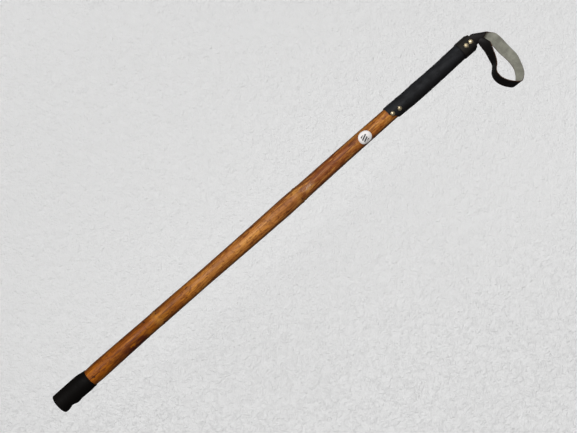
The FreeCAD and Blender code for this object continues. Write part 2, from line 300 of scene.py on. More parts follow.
def node_line(node, angle, seed):
    """The growth node's scar runs slightly askew round the cane."""
    return node + 1.1 * MM * math.sin(angle + seed) + 0.8 * MM * wander(angle, node, 1.3, 1.0, seed)


def cane_surface(angle, height):
    """Radius of the finished cane, with its ovality, flutes, growth nodes and knots."""
    radius = cane_radius(height)
    radius += 0.14 * MM * math.cos(2 * angle + height * 3)
    radius += 0.22 * MM * wander(angle, height, 1.6, 7.0, 3.1)
    radius += 0.10 * MM * wander(angle, height, 5.0, 12.0, 8.7)
    for node, seed, ridge in ((LOWER_NODE, 1.4, 0.35), (UPPER_NODE, 4.2, 0.55)):
        above = height - node_line(node, angle, seed)
        radius += ridge * MM * bell(above + 1.5 * MM, 3.2 * MM)
        radius -= 0.42 * MM * bell(above - 1.6 * MM, 1.0 * MM)
        radius += 0.18 * MM * bell(above - 4.2 * MM, 1.6 * MM)
        scar = bell(angle_gap(angle, 0.35) * radius, 4.5 * MM) * bell(above - 4 * MM, 4 * MM)
        radius -= 0.5 * MM * scar
    return radius


def cane_drift(height):
    """The cane's own slight crookedness: to the left low down and to the right above its middle."""
    along = max(0.0, (height - FERRULE_HIGH.z) / (WRAP_LOW.z - FERRULE_HIGH.z))
    hold = 1 - smooth(0.68, 0.92, along)
    across = 0.85 * MM * hold * math.sin(5.8 * (along - 0.37))
    deep = 0.4 * MM * hold * math.sin(6.5 * along)
    return Vector((across, deep, 0))


def grip_drift(height):
    """The grip bows to the right between its hem and its top band."""
    rise = smooth(WRAP_LOW.z, WRAP_LOW.z + 50 * MM, height)
    fall = smooth(BAND_LOW.z - 60 * MM, BAND_LOW.z, height)
    return Vector((1.2 * MM * rise * (1 - fall), 0, 0))


def ferrule_drift(height):
    """The rubber is moulded thicker on the left, most of all towards the foot."""
    return Vector((-1.8 * MM + 1.0 * MM * smooth(FERRULE_HIGH.z - 22 * MM, FERRULE_HIGH.z, height), 0, 0))


def cane_heights():
    """Rows closer together at the growth nodes."""
    heights = [SHAFT_LOW.z + 0.2 * MM]
    while heights[-1] < SHAFT_HIGH.z - 0.3 * MM:
        away = min(abs(heights[-1] - LOWER_NODE), abs(heights[-1] - UPPER_NODE))
        heights.append(heights[-1] + (0.55 + 2.2 * smooth(7 * MM, 25 * MM, away)) * MM)
    return heights


def make_shaft():
    around = 88
    rows = []
    for height in cane_heights():
        drift = cane_drift(height)
        rows.append([
            on_stick(cane_surface(TURN * j / around, height), TURN * j / around, height) + drift
            for j in range(around)
        ])
    piece = skin("cane_shaft", rows, cap_start=True, cap_end=True)
    piece.data.materials.append(cane_paint())
    return placed(piece, ROOT, "cane", "shaft")


def cane_paint():
    """Varnished natural cane: lengthwise fibres, dark flames near the foot, scars at the growth nodes."""
    paint = Paint("varnished_cane")
    height = paint.axis("Z")
    along = paint.sum("DIVIDE", paint.sum("SUBTRACT", height, FERRULE_HIGH.z), WRAP_LOW.z - FERRULE_HIGH.z)
    base = paint.ramp(along, (
        (0.0, srgb(150, 82, 6)),
        (0.16, srgb(138, 74, 6)),
        (0.215, srgb(154, 86, 8)),
        (0.235, srgb(182, 118, 36)),
        (0.27, srgb(156, 92, 24)),
        (0.40, srgb(162, 100, 38)),
        (0.55, srgb(184, 116, 48)),
        (0.69, srgb(186, 120, 58)),
        (0.705, srgb(150, 92, 44)),
        (0.78, srgb(146, 84, 40)),
        (0.92, srgb(150, 84, 34)),
        (1.0, srgb(152, 86, 30)),
    ))
    blotch = paint.cloud((34, 34, 9), 4, 0.6)
    base = paint.mix(paint.between(blotch, 0.42, 0.66, 0.0, 0.6), base, srgb(112, 52, 10))
    glow = paint.cloud((26, 26, 11), 3, 0.6, (5, 2, 1))
    base = paint.mix(paint.between(glow, 0.50, 0.68, 0.0, 0.5), base, srgb(206, 138, 54))
    fibre = paint.cloud((420, 420, 26), 5, 0.7, twist=0.8)
    base = paint.mix(paint.between(fibre, 0.46, 0.62, 0.0, 0.66), base, srgb(78, 32, 5))
    # Painted highlight: a paler strip down the front of the cane, strongest at mid-height, with the veins
    # weakened under it.
    front = paint.near(paint.axis("X"), 1 * MM, 9 * MM)
    painted_highlight = paint.sum("MULTIPLY", front, paint.near(along, 0.52, 0.24))
    base = paint.mix(paint.sum("MULTIPLY", painted_highlight, 0.45), base, srgb(212, 146, 74))
    vein = paint.cloud((170, 170, 14), 4, 0.65, (6, 8, 2), 1.2)
    vein_depth = paint.sum("SUBTRACT", 0.68, paint.sum("MULTIPLY", painted_highlight, 0.4))
    vein = paint.sum("MULTIPLY", paint.between(vein, 0.55, 0.66), vein_depth)
    base = paint.mix(vein, base, srgb(66, 28, 10))
    streak = paint.cloud((150, 150, 18), 5, 0.7, (3, 1, 0), 0.6)
    light = paint.mix(paint.between(along, 0.25, 0.45), srgb(190, 116, 20), srgb(216, 152, 72))
    base = paint.mix(paint.between(streak, 0.50, 0.64, 0.0, 0.55), base, light)
    mottle = paint.cloud((260, 260, 130), 4, 0.7, (4, 9, 6), 0.5)
    base = paint.mix(paint.between(mottle, 0.50, 0.64, 0.0, 0.62), base, srgb(92, 40, 12))
    fleck = paint.cloud((200, 200, 80), 3, 0.5, (7, 7, 0), 0.6)
    base = paint.mix(paint.between(fleck, 0.66, 0.74, 0.0, 0.9), base, srgb(48, 18, 8))

    flame_zone = paint.near(height, FERRULE_HIGH.z + 105 * MM, 95 * MM)
    flame_side = paint.between(paint.axis("X"), -5 * MM, 8 * MM)
    flame = paint.between(paint.cloud((80, 80, 30), 4, 0.6, (1, 4, 2), 0.9), 0.34, 0.52)
    flame = paint.sum("MULTIPLY", paint.sum("MULTIPLY", flame, flame_zone), flame_side)
    base = paint.mix(paint.sum("MULTIPLY", flame, 0.95), base, srgb(62, 18, 10))

    ripple = paint.sum("MULTIPLY", paint.sum("SUBTRACT", paint.cloud((70, 70, 30), 3), 0.5), 13 * MM)
    wavy = paint.sum("ADD", height, ripple)
    broken = paint.between(paint.cloud((95, 95, 40), 3, 0.6, (2, 8, 5)), 0.40, 0.60)
    for node in (LOWER_NODE, UPPER_NODE):
        pale = paint.near(wavy, node - 3 * MM, 11 * MM)
        base = paint.mix(paint.sum("MULTIPLY", pale, 0.28), base, srgb(200, 140, 62))
        stain = paint.sum("MULTIPLY", paint.near(wavy, node + 3 * MM, 12 * MM), broken)
        base = paint.mix(paint.sum("MULTIPLY", stain, 0.75), base, srgb(88, 36, 12))
        line = paint.sum("MULTIPLY", paint.near(wavy, node + 1.6 * MM, 1.9 * MM), broken)
        base = paint.mix(paint.sum("MULTIPLY", line, 0.95), base, srgb(38, 14, 8))
    # Pale slanting ticks above the upper node: scratches in the varnish, painted pale as a highlight down the
    # front.
    slant = paint.sum("ADD", height, paint.sum("MULTIPLY", paint.axis("X"), 0.9))
    tick = paint.sum("FRACT", paint.sum("DIVIDE", slant, 3.1 * MM))
    tick = paint.sum("ABSOLUTE", paint.sum("SUBTRACT", tick, 0.5))
    tick = paint.between(tick, 0.10, 0.26, 1.0, 0.0)
    scratch_highlight_height = paint.near(height, UPPER_NODE + 20 * MM, 17 * MM)
    scratch_highlight_side = paint.near(paint.axis("X"), 1.5 * MM, 6 * MM)
    scratch_highlight = paint.sum("MULTIPLY", scratch_highlight_height, scratch_highlight_side)
    scratch_highlight = paint.sum("MULTIPLY", scratch_highlight, paint.between(paint.cloud((400, 400, 120), 2), 0.35, 0.6))
    base = paint.mix(paint.sum("MULTIPLY", tick, scratch_highlight), base, srgb(206, 184, 158))
    # Painted shade: darker towards the cane's outline, where its surface turns away from the camera.
    edge = paint.node("ShaderNodeLayerWeight")
    edge.inputs["Blend"].default_value = 0.5
    painted_edge_shade = paint.between(edge.outputs["Facing"], 0.16, 0.72, 0.0, 0.66)
    base = paint.mix(painted_edge_shade, base, srgb(52, 24, 8))
    fine = paint.bump(fibre, 0.35, 0.3 * MM)
    worn = paint.bump(paint.cloud((60, 60, 24), 4), 0.45, 0.6 * MM, fine)
    rough = paint.between(paint.cloud((80, 80, 15), 4), 0.3, 0.75, 0.42, 0.68)
    return paint.finish(
        colour=base, rough=rough, normal=worn, shine=0.16, coat=0.03,
        coat_rough=paint.between(paint.cloud((300, 300, 40), 3), 0.35, 0.7, 0.15, 0.35),
    )


# ---------------------------------------------------------------- the grip's leather
WRAP_OUT = WRAP_HIGH.x
WRAP_PITCH = 36 * MM                # width of one turn of the wound leather strip
LAP = 0.34 * MM                     # height of a turn's edge where it lies on the turn below
HEM_RISE = 14.25 * MM               # how much higher the hem is at the right than round the front


def hem_height(angle):
    """The hem is level round the front and left and rises towards the right."""
    rise = max(0.0, math.sin(angle)) ** 1.3
    return WRAP_LOW.z + HEM_RISE * rise + 0.35 * MM * wander(angle, 0, 2.5, 1, 5.5)


def tack_places(node, dome_rise):
    """(angle, height, seat radius) of each dome in a tack node, lower one first."""
    points = np.array([v.co for v in frame["nodes"][node].data.vertices], float)
    middle = (points[:, 2].min() + points[:, 2].max()) / 2
    found = []
    for group in (points[points[:, 2] < middle], points[points[:, 2] >= middle]):
        height = (group[:, 2].min() + group[:, 2].max()) / 2
        tip = group[np.argmax(np.hypot(group[:, 0], group[:, 1]))]
        crown = float(np.hypot(tip[0], tip[1]))
        found.append((math.atan2(tip[0], -tip[1]), float(height), crown - dome_rise))
    return found


DOME_RISE = 2.2 * MM
DOME_RADIUS = 4.0 * MM
HEM_TACKS = tack_places("hem_tacks", DOME_RISE)
STRAP_TACKS = tack_places("strap_tacks", DOME_RISE)


def pinch(angle, height, radius, tacks, deep, reach):
    """How far leather is drawn in round the tacks."""
    total = 0.0
    for tack_angle, tack_height, seat in tacks:
        away = math.hypot(angle_gap(angle, tack_angle) * radius, height - tack_height)
        total += deep * bell(away, reach)
    return total


def wrap_surface(angle, height):
    turns = (height - WRAP_LOW.z) / WRAP_PITCH - angle / TURN
    above = (turns % 1.0) * WRAP_PITCH
    below = WRAP_PITCH - above
    radius = WRAP_OUT - 0.22 * MM
    radius += 0.5 * MM * bell(height - WRAP_LOW.z - 68 * MM, 30 * MM)
    radius += LAP * (1 - smooth(0, 11 * MM, above)) * smooth(0, 0.7 * MM, above)
    radius -= 0.16 * MM * bell(below, 1.1 * MM)
    radius += 0.16 * MM * wander(angle, height, 2.2, 38, 2.2)
    radius += 0.07 * MM * wander(angle, height, 6.0, 160, 6.1)
    radius -= pinch(angle, height, radius, HEM_TACKS, 0.35 * MM, 5.5 * MM)
    return radius


def make_grip_wrap():
    around = 120
    angles = [TURN * j / around for j in range(around)]
    inside = GRIP_RADIUS + 0.12 * MM
    edge_round = [(0.0, 0.25 * MM), (0.35, 0.05 * MM), (0.75, 0.02 * MM)]
    rows = [[on_stick(inside, a, hem_height(a) + 3 * MM) for a in angles]]
    for part, lift in edge_round:
        rows.append([
            on_stick(inside + (wrap_surface(a, hem_height(a)) - inside) * part, a, hem_height(a) + lift)
            for a in angles
        ])
    top = WRAP_HIGH.z
    for part in steps(0, 1, 260):
        row = []
        for a in angles:
            height = hem_height(a) + 0.35 * MM + (top - hem_height(a) - 0.35 * MM) * part
            row.append(on_stick(wrap_surface(a, height), a, height) + grip_drift(height))
        rows.append(row)
    rows.append([on_stick(inside, a, top) for a in angles])
    piece = skin("grip_wrap_leather", rows)
    piece.data.materials.append(leather_paint("grip_leather", srgb(34, 35, 38), 2))
    return placed(piece, ROOT, "grip_leather", "grip_wrap")


def leather_paint(name, tint, seed, rough_low=0.58, rough_high=0.78):
    """Black grain leather: small cells, creases, dusty worn patches, and painted shade in the creases and
    towards +X.
    """
    paint = Paint(name)
    shift = (seed, seed * 0.7, seed * 1.3)
    cell = paint.cells(1150, "F1", shift)
    crease = paint.cells(900, "DISTANCE_TO_EDGE", shift)
    crease = paint.between(crease, 0.0, 0.16, 0.35, 1.0)
    dust = paint.cloud((110, 110, 60), 5, 0.6, shift)
    scuff = paint.cloud((700, 700, 90), 4, 0.7, shift)
    colour = paint.mix(paint.between(dust, 0.35, 0.75), tint, tuple(c * 0.45 for c in tint[:3]) + (1.0,))
    colour = paint.mix(paint.between(scuff, 0.62, 0.80, 0.0, 0.3), colour, srgb(66, 64, 62))
    # Painted shade: the colour darkens along the grain's creases.
    colour = paint.mix(paint.sum("SUBTRACT", 1.0, crease), colour, srgb(14, 13, 13))
    # Painted shade: darker towards +X, the side turned away from the key light.
    painted_side_shade = paint.between(paint.axis("X"), 0.0, 13 * MM, 0.0, 0.62)
    colour = paint.mix(painted_side_shade, colour, srgb(11, 8, 6))
    height = paint.sum("ADD", paint.sum("MULTIPLY", cell, 0.6), paint.sum("MULTIPLY", crease, 0.6))
    grain = paint.bump(height, 0.55, 0.22 * MM)
    folds = paint.bump(paint.cloud((160, 160, 90), 4, 0.6, shift), 0.45, 0.7 * MM, grain)
    rough = paint.between(dust, 0.3, 0.8, rough_low, rough_high)
    return paint.finish(colour=colour, rough=rough, normal=folds, shine=0.16)


# ---------------------------------------------------------------- top band and end disc
BAND_SIDE = BAND_HIGH.x
BAND_FRONT = -BAND_LOW.y
BAND_THICK = 0.95 * MM
CURL = 4.6 * MM                     # how far the band's top edge rolls in over the end


def hull(angle, side, front, edge):
    """Radius of leather pulled tight over a round grip and the strap tails at its front."""
    touch = edge + math.acos(side / front)
    away = min(max(touch - angle_gap(angle, 0), 0.0), touch - edge)
    return side / math.cos(away)


def band_outline(angle):
    """The tight outline with its corners softened."""
    edge = math.atan2(FRONT_TAIL_HIGH.x, -FRONT_TAIL_HIGH.y)
    around = [hull(angle + k * 0.07, BAND_SIDE, BAND_FRONT, edge) for k in (-2, -1, 0, 1, 2)]
    return sum(around) / len(around)


def band_surface(angle, height):
    radius = band_outline(angle)
    radius += 0.14 * MM * wander(angle, height, 2.5, 60, 9.4)
    radius -= pinch(angle, height, radius, STRAP_TACKS, 0.4 * MM, 6 * MM)
    return radius


def rolled_over(angle):
    """0 at the front, where the tails hold the band's edge up, and 1 where it rolls in over the end."""
    return smooth(0.95, 1.5, angle_gap(angle, 0))


def make_top_band():
    """Short leather band over the grip and the strap's tails, open at the front where the strap comes out."""
    around = 120
    angles = [TURN * j / around for j in range(around)]
    low, high = BAND_LOW.z, BAND_HIGH.z

    def inner(angle):
        return max(band_outline(angle) - BAND_THICK, WRAP_OUT)

    def ripple(angle):
        return 0.5 * MM * wander(angle, 0, 2.0, 1, 7.7)

    rows = [[on_stick(inner(a), a, low + 2 * MM) for a in angles]]
    for part, lift in ((0.15, 0.15), (0.5, 0.0), (0.85, 0.12), (1.0, 0.42)):
        rows.append([
            on_stick(inner(a) + (band_surface(a, low) - inner(a)) * part, a, low + ripple(a) + lift * MM)
            for a in angles
        ])
    for part in steps(0.03, 1, 40):
        row = []
        for a in angles:
            height = low + (high - CURL - low) * part + ripple(a) * (1 - part)
            row.append(on_stick(band_surface(a, height), a, height))
        rows.append(row)
    for part in steps(0.0, 1.0, 12)[1:]:
        bend = part * math.pi / 2
        row = []
        for a in angles:
            rolled = rolled_over(a)
            radius = band_surface(a, high - CURL)
            inward = rolled * CURL * (1 - math.cos(bend))
            height = high - CURL + (CURL - 0.3 * MM) * (math.sin(bend) * rolled + part * (1 - rolled))
            row.append(on_stick(radius - inward, a, height))
        rows.append(row)
    for inward, drop in ((0.25, 0.05), (0.7, 0.35), (1.0, 1.0), (1.0, 3.0)):
        row = []
        for a in angles:
            rolled = rolled_over(a)
            radius = band_surface(a, high - CURL) - rolled * CURL
            row.append(on_stick(radius - inward * BAND_THICK * 0.95, a, high - 0.3 * MM - drop * MM))
        rows.append(row)
    piece = skin("top_band_leather", rows)
    piece.data.materials.append(leather_paint("band_leather", srgb(36, 33, 29), 11))
    return placed(piece, ROOT, "grip_leather", "top_band")


def make_end_disc():
    """Slightly domed leather disc, its rim under the band's rolled edge."""
    around = 72
    reach = DISC_HIGH.x - 0.6 * MM
    top = DISC_HIGH.z - 0.2 * MM
    rows = [[on_stick(reach, TURN * j / around, DISC_LOW.z + 0.2 * MM) for j in range(around)]]
    for part in steps(0, 1, 26)[:-1]:
        out = reach * math.cos(part * math.pi / 2)
        row = []
        for j in range(around):
            angle = TURN * j / around
            height = top - 1.2 * MM * (out / reach) ** 3 + 0.25 * MM * wander(angle, out, out * 300, 40, 1.9)
            row.append(on_stick(out, angle, height))
        rows.append(row)
    piece = skin("end_disc_leather", rows, cap_start=True, cap_end=True)
    piece.data.materials.append(leather_paint("disc_leather", srgb(40, 34, 30), 17))
    return placed(piece, ROOT, "grip_leather", "end_disc")


# ---------------------------------------------------------------- wrist strap
TAIL_THICK = 1.6 * MM
STRAP_HALF = 11 * MM
FRONT_Y = FRONT_TAIL_LOW.y + TAIL_THICK / 2
HINGE = Vector(frame["joints"][0]["pos_m"])
STRAP_ROOT = HINGE.z + 0.8 * MM
STEP = 0.02                         # share of a ruling's spacing over which the direction is taken
WAVINESS = 0.22 * MM


def strap_rulings():
    """(left edge, right edge, how much it is cupped round the stick) at places along the strap.

    Left and right are those of the front tail. Millimetres from the strap's root at the top of the grip."""
    front_tail = [
        ((-10.2, 0, -29), (10.2, 0, -29), 1.1),
        ((-10.2, 0, -12), (10.2, 0, -12), 1.1),
        ((-10.2, 0, -7.5), (10.1, 0, -7), 1.1),
    ]
    fold_backwards = [
        ((-10.4, 0.1, -5), (9.8, 0, -1), 0.8),
        ((-10.3, 0.3, -4.2), (9.0, -0.6, 6.5), 0.5),
        ((-9.9, 1.2, -3.4), (6.4, -0.6, 14), 0.2),
        ((-9.2, 3.2, -2.4), (4.8, 2.2, 19.2), 0),
        ((-8.2, 7.0, -1), (8.2, 6.6, 23.8), 0),
        ((-1, 8.6, 2.6), (15.4, 8.6, 30.8), 0),
    ]
    far_side = [
        ((12, 9, 8.8), (23.9, 9.4, 33), 0),
        ((22, 9.6, 12.2), (30.8, 10, 34), 0),
        ((32.8, 10.5, 13), (40.7, 11.5, 34.5), 0),
        ((47.6, 11.5, 13.5), (54.5, 12.5, 35.3), 0),
        ((60.4, 12, 15.2), (68.3, 13, 36), 0),
        ((73.5, 12, 15.6), (82.1, 12.5, 32.6), 0),
        ((85.1, 11, 13.6), (93.6, 10, 27.8), 0),
    ]
    turn_back = [
        ((95.1, 9, 7.8), (101.6, 5.5, 22), 0),
        ((102.6, 6, 0.5), (106.4, -0.5, 14), 0),
        ((106.9, 2, -5.5), (108, -8, 7.5), 0),
        ((105.9, 0.5, -11.5), (104.6, -13, 0.5), 0),
    ]
    near_side = [
        ((99.3, 1.5, -17.3), (96.6, -14.8, -7.6), 0),
        ((91.1, 2.5, -22.4), (88.1, -15.3, -13.5), 0),
        ((82.1, 3, -25.2), (79.6, -15.5, -17), 0),
        ((72.8, 3.4, -25.2), (72.6, -16, -17.8), 0),
        ((65.3, 4.2, -22), (66.9, -16.6, -17), 0),
        ((59, 5, -15.2), (62, -16.8, -14), 0),
        ((55.5, 4.6, -12.2), (57, -16.4, -8), 0),
        ((51, 3.6, -10.6), (49.9, -15.6, -3.1), 0),
        ((42.3, 2.6, -9), (42, -15.2, 0.6), 0),
        ((29.5, 2.2, -6.4), (30.8, -13.8, 5.4), 0),
        ((18.5, 2.6, -5.6), (22, -10.5, 9.6), 0),
    ]
    fold_downwards = [
        ((5, 3, -4.4), (15.6, -4.5, 9.4), 0),
        ((-5, 2.4, -3), (7.6, 1.8, 8.8), 0),
        ((-5.2, 4, -1.8), (7.6, 3.6, 9.6), 0),
        ((-5.6, 5.2, -1.8), (8.4, 5, 6), 0),
        ((-7.6, 3.6, -3.8), (9.6, 3.4, -0.6), -0.3),
        ((-9.2, 1.9, -5.8), (9.8, 1.8, -4.6), -0.7),
    ]
    back_tail = [
        ((-10.2, 1.65, -7.5), (10, 1.65, -7.5), -1),
        ((-10.2, 1.65, -12), (10.2, 1.65, -12), -1),
        ((-10.2, 1.65, -29), (10.2, 1.65, -29), -1),
    ]
    rulings = front_tail + fold_backwards + far_side + turn_back + near_side + fold_downwards + back_tail
    root = Vector((0, FRONT_Y, STRAP_ROOT))
    return [(root + Vector(left) * MM, root + Vector(right) * MM, cup) for left, right, cup in rulings]


def spline(values, t):
    """Catmull-Rom curve through the values; t runs from 0 to the last value's number."""
    last = len(values) - 1
    i = min(int(t), last - 1)
    f = t - i
    before, here = values[max(i - 1, 0)], values[i]
    after, beyond = values[i + 1], values[min(i + 2, last)]
    return (
        here * 2
        + (after - before) * f
        + (before * 2 - here * 5 + after * 4 - beyond) * (f * f)
        + (here * 3 - before - after * 3 + beyond) * (f * f * f)
    ) * 0.5


def strap_section():
    """Outline of the flat strap: (across -1..1, out -1..1, face kind), grain side first."""
    flat = [(1 - 2 * k / 10) * 0.96 for k in range(11)]
    grain = [(x, 1.0, 0) for x in flat]
    suede = [(-x, -1.0, 1) for x in flat]
    left = [(-0.985, 0.75, 2), (-1.0, 0.25, 2), (-1.0, -0.35, 2), (-0.985, -0.8, 2)]
    right = [(-x, -out, kind) for x, out, kind in left]
    return grain + left + suede + right


def make_strap():
    """One leather strap from the front tail, over its diagonal fold, round the loop and back under itself."""
    rows_per_ruling = 8
    rulings = strap_rulings()
    lefts = [left for left, right, cup in rulings]
    rights = [right for left, right, cup in rulings]
    cups = [cup for left, right, cup in rulings]
    section = strap_section()
    last = len(rulings) - 1
    rows = []
    for n in range(last * rows_per_ruling + 1):
        t = n / rows_per_ruling
        left, right, cup = spline(lefts, t), spline(rights, t), spline(cups, t)
        middle = (left + right) / 2
        ahead, behind = min(t + STEP, last), max(t - STEP, 0)
        along = spline(lefts, ahead) + spline(rights, ahead) - spline(lefts, behind) - spline(rights, behind)
        half = (left - right) / 2
        out = along.cross(half).normalized()
        row = []
        for x, side, kind in section:
            curve = -0.5 * cup * (x * STRAP_HALF) ** 2 / abs(middle.y)
            curve += WAVINESS * noise.noise(Vector((x * 1.3, t * 1.1, 7.0)))
            row.append(middle + half * x + out * (side * TAIL_THICK / 2 + curve))
        rows.append(row)
    piece = skin("wrist_strap", rows, cap_start=True, cap_end=True)
    for paint in (strap_grain_paint(), strap_suede_paint(), strap_edge_paint()):
        piece.data.materials.append(paint)
    count = len(section)
    kinds = [section[j][2] if section[j][2] == section[(j + 1) % count][2] else 2 for j in range(count)]
    for polygon in piece.data.polygons:
        if len(polygon.vertices) == 4:
            polygon.material_index = kinds[polygon.index % count]
        else:
            polygon.material_index = 2
    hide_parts("strap_loop", "strap_front_tail", "strap_back_tail")
    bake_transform(piece)
    return piece


def strap_grain_paint():
    return leather_paint("strap_grain", srgb(26, 22, 21), 5, 0.5, 0.7)


def strap_suede_paint():
    """The strap's flesh side: grey nap with faint fibres and darker handled patches."""
    paint = Paint("strap_suede")
    nap = paint.cloud((1800, 1800, 1800), 4, 0.7)
    patch = paint.cloud((60, 60, 60), 4, 0.6, (2, 3, 4))
    colour = paint.mix(paint.between(patch, 0.3, 0.7), srgb(142, 142, 130), srgb(112, 111, 101))
    colour = paint.mix(paint.between(nap, 0.45, 0.75, 0.0, 0.4), colour, srgb(84, 82, 74))
    pale = paint.cloud((900, 900, 900), 2, 0.5, (9, 0, 3))
    colour = paint.mix(paint.between(pale, 0.60, 0.78, 0.0, 0.4), colour, srgb(176, 175, 164))
    fuzz = paint.bump(nap, 0.6, 0.25 * MM)
    dents = paint.bump(patch, 0.35, 0.8 * MM, fuzz)
    return paint.finish(colour=colour, rough=0.95, normal=dents, sheen=0.35, sheen_rough=0.5, shine=0.15)


def strap_edge_paint():
    """Cut leather edge: brown fibres under black edge dye."""
    paint = Paint("strap_cut_edge")
    fibre = paint.cloud((900, 900, 900), 4, 0.7)
    colour = paint.mix(paint.between(fibre, 0.40, 0.62), srgb(30, 22, 18), srgb(92, 58, 36))
    return paint.finish(colour=colour, rough=0.85, normal=paint.bump(fibre, 0.6, 0.2 * MM), shine=0.2)


# ---------------------------------------------------------------- brass tacks
SHANK_LENGTH = 12 * MM
SHANK_RADIUS = 0.9 * MM
POINT_LENGTH = 3 * MM
POINT_RADIUS = 0.05 * MM
RIM_RADIUS = 0.22 * MM


def tack_profile():
    """(radius, height above the leather) from the shank's point, round the rolled rim to the crown."""
    under = -0.1 * MM
    profile = [
        (POINT_RADIUS, -SHANK_LENGTH),
        (SHANK_RADIUS, POINT_LENGTH - SHANK_LENGTH),
        (SHANK_RADIUS, under),
        (DOME_RADIUS * 0.93, under),
    ]
    for part in steps(0, 1, 6):
        bead = math.pi * (part - 0.5)
        radius = DOME_RADIUS * 0.95 + RIM_RADIUS * math.cos(bead)
        profile.append((radius, 0.12 * MM + RIM_RADIUS * math.sin(bead)))
    dome_foot = 0.3 * MM
    for part in steps(0, 1, 14)[:-1]:
        bend = part * math.pi / 2
        rise = dome_foot + (DOME_RISE - dome_foot) * math.sin(bend) ** 0.9
        profile.append((DOME_RADIUS * 0.92 * math.cos(bend), rise))
    return profile


def make_tacks(name, node, places):
    """Pressed brass domes with a rolled rim, on their shanks."""
    around = 40
    for number, (angle, height, seat) in enumerate(places, start=1):
        outward = on_stick(1, angle, 0)
        turn = outward.to_track_quat("Z", "Y").to_matrix().to_4x4()
        turn = Matrix.Translation(outward * seat + Vector((0, 0, height))) @ turn
        rows = []
        for radius, rise in tack_profile():
            row = []
            for j in range(around):
                way = TURN * j / around
                row.append(turn @ Vector((radius * math.cos(way), radius * math.sin(way), rise)))
            rows.append(row)
        piece = skin(f"{name}_{number}", rows, cap_start=True, cap_end=True)
        piece.data.materials.append(bpy.data.materials.get("domed_brass") or brass_paint())
        placed(piece, ROOT, "tack_brass", node)


def brass_paint():
    """Brass domes, patchily tarnished with dark spots."""
    paint = Paint("domed_brass")
    tarnish = paint.cloud((500, 500, 500), 5, 0.65)
    colour = paint.mix(paint.between(tarnish, 0.42, 0.72), srgb(204, 190, 158), srgb(116, 96, 68))
    spots = paint.cloud((1500, 1500, 1500), 2, 0.5, (4, 4, 4))
    colour = paint.mix(paint.between(spots, 0.66, 0.76, 0.0, 0.7), colour, srgb(70, 50, 28))
    rough = paint.between(tarnish, 0.35, 0.75, 0.38, 0.62)
    return paint.finish(colour=colour, rough=rough, metal=1.0, normal=paint.bump(tarnish, 0.2, 0.3 * MM))


# ---------------------------------------------------------------- paper label
LABEL_CENTRE = (LABEL_LOW + LABEL_HIGH) / 2
LABEL_RADIUS = (LABEL_HIGH.z - LABEL_LOW.z) / 2
LABEL_TURNS = [math.atan2(v.co.x, -v.co.y) for v in frame["nodes"]["label"].data.vertices]
LABEL_ANGLE = (min(LABEL_TURNS) + max(LABEL_TURNS)) / 2


def make_label():
    """Round paper label bent round the cane, one edge lifting slightly."""
    around, ring_count = 72, 14
    drift = cane_drift(LABEL_CENTRE.z)

    def bent(across, up, lift):
        radius = cane_surface(LABEL_ANGLE, LABEL_CENTRE.z + up) + 0.12 * MM + lift
        angle = LABEL_ANGLE + across / radius
        return on_stick(max(radius, cane_surface(angle, LABEL_CENTRE.z + up) + 0.08 * MM + lift),
                        angle, LABEL_CENTRE.z + up) + drift

    rows = []
    for side in (0, 1):
        rings = steps(0.02, 1, ring_count)
        for part in (rings if side == 0 else reversed(rings)):
            row = []
            for j in range(around):
                turn = TURN * j / around
                across, up = LABEL_RADIUS * part * math.cos(turn), LABEL_RADIUS * part * math.sin(turn)
                peel = 0.5 * MM * smooth(0.75, 1.0, part) * bell(angle_gap(turn, 0.6), 0.5)
                row.append(bent(across, up, peel + (0.10 * MM if side else 0)))
            rows.append(row)
    piece = skin("paper_label", rows, cap_start=True, cap_end=True)
    piece.data.materials.append(label_paint())
    return placed(piece, ROOT, "label_paper", "label")


def label_paint():
    """Matt white paper printed with a plain ring and slanting strokes, which mean nothing."""
    paint = Paint("printed_paper")
    middle = on_stick(cane_radius(LABEL_CENTRE.z), LABEL_ANGLE, 0).x + cane_drift(LABEL_CENTRE.z).x
    across = paint.sum("SUBTRACT", paint.axis("X"), middle)
    up = paint.sum("SUBTRACT", paint.axis("Z"), LABEL_CENTRE.z)
    slant = paint.sum("ADD", across, paint.sum("MULTIPLY", up, 0.45))
    stroke = paint.sum("FRACT", paint.sum("DIVIDE", slant, 4.6 * MM))
    stroke = paint.between(paint.sum("ABSOLUTE", paint.sum("SUBTRACT", stroke, 0.5)), 0.26, 0.36, 1.0, 0.0)
    wide = paint.between(paint.sum("ABSOLUTE", across), 5.6 * MM, 6.2 * MM, 1.0, 0.0)
    ragged = paint.sum("MULTIPLY", paint.cloud((160, 160, 160), 1), 5 * MM)
    tall = paint.sum("ADD", paint.sum("ABSOLUTE", paint.sum("ADD", up, 1 * MM)), ragged)
    tall = paint.between(tall, 7.4 * MM, 8.0 * MM, 1.0, 0.0)
    ink = paint.sum("MULTIPLY", paint.sum("MULTIPLY", stroke, wide), tall)
    squared = paint.sum("ADD", paint.sum("MULTIPLY", across, across), paint.sum("MULTIPLY", up, up))
    ring = paint.near(paint.sum("SQRT", squared), LABEL_RADIUS * 0.88, 0.35 * MM)
    ink = paint.sum("MAXIMUM", ink, paint.sum("MULTIPLY", ring, 0.55))
    pulp = paint.cloud((900, 900, 900), 3, 0.6)
    paper = paint.mix(paint.between(pulp, 0.4, 0.7, 0.0, 0.5), srgb(232, 228, 226), srgb(214, 209, 205))
    colour = paint.mix(paint.sum("MULTIPLY", ink, 0.95), paper, srgb(24, 22, 26))
    return paint.finish(colour=colour, rough=0.6, normal=paint.bump(pulp, 0.25, 0.1 * MM))


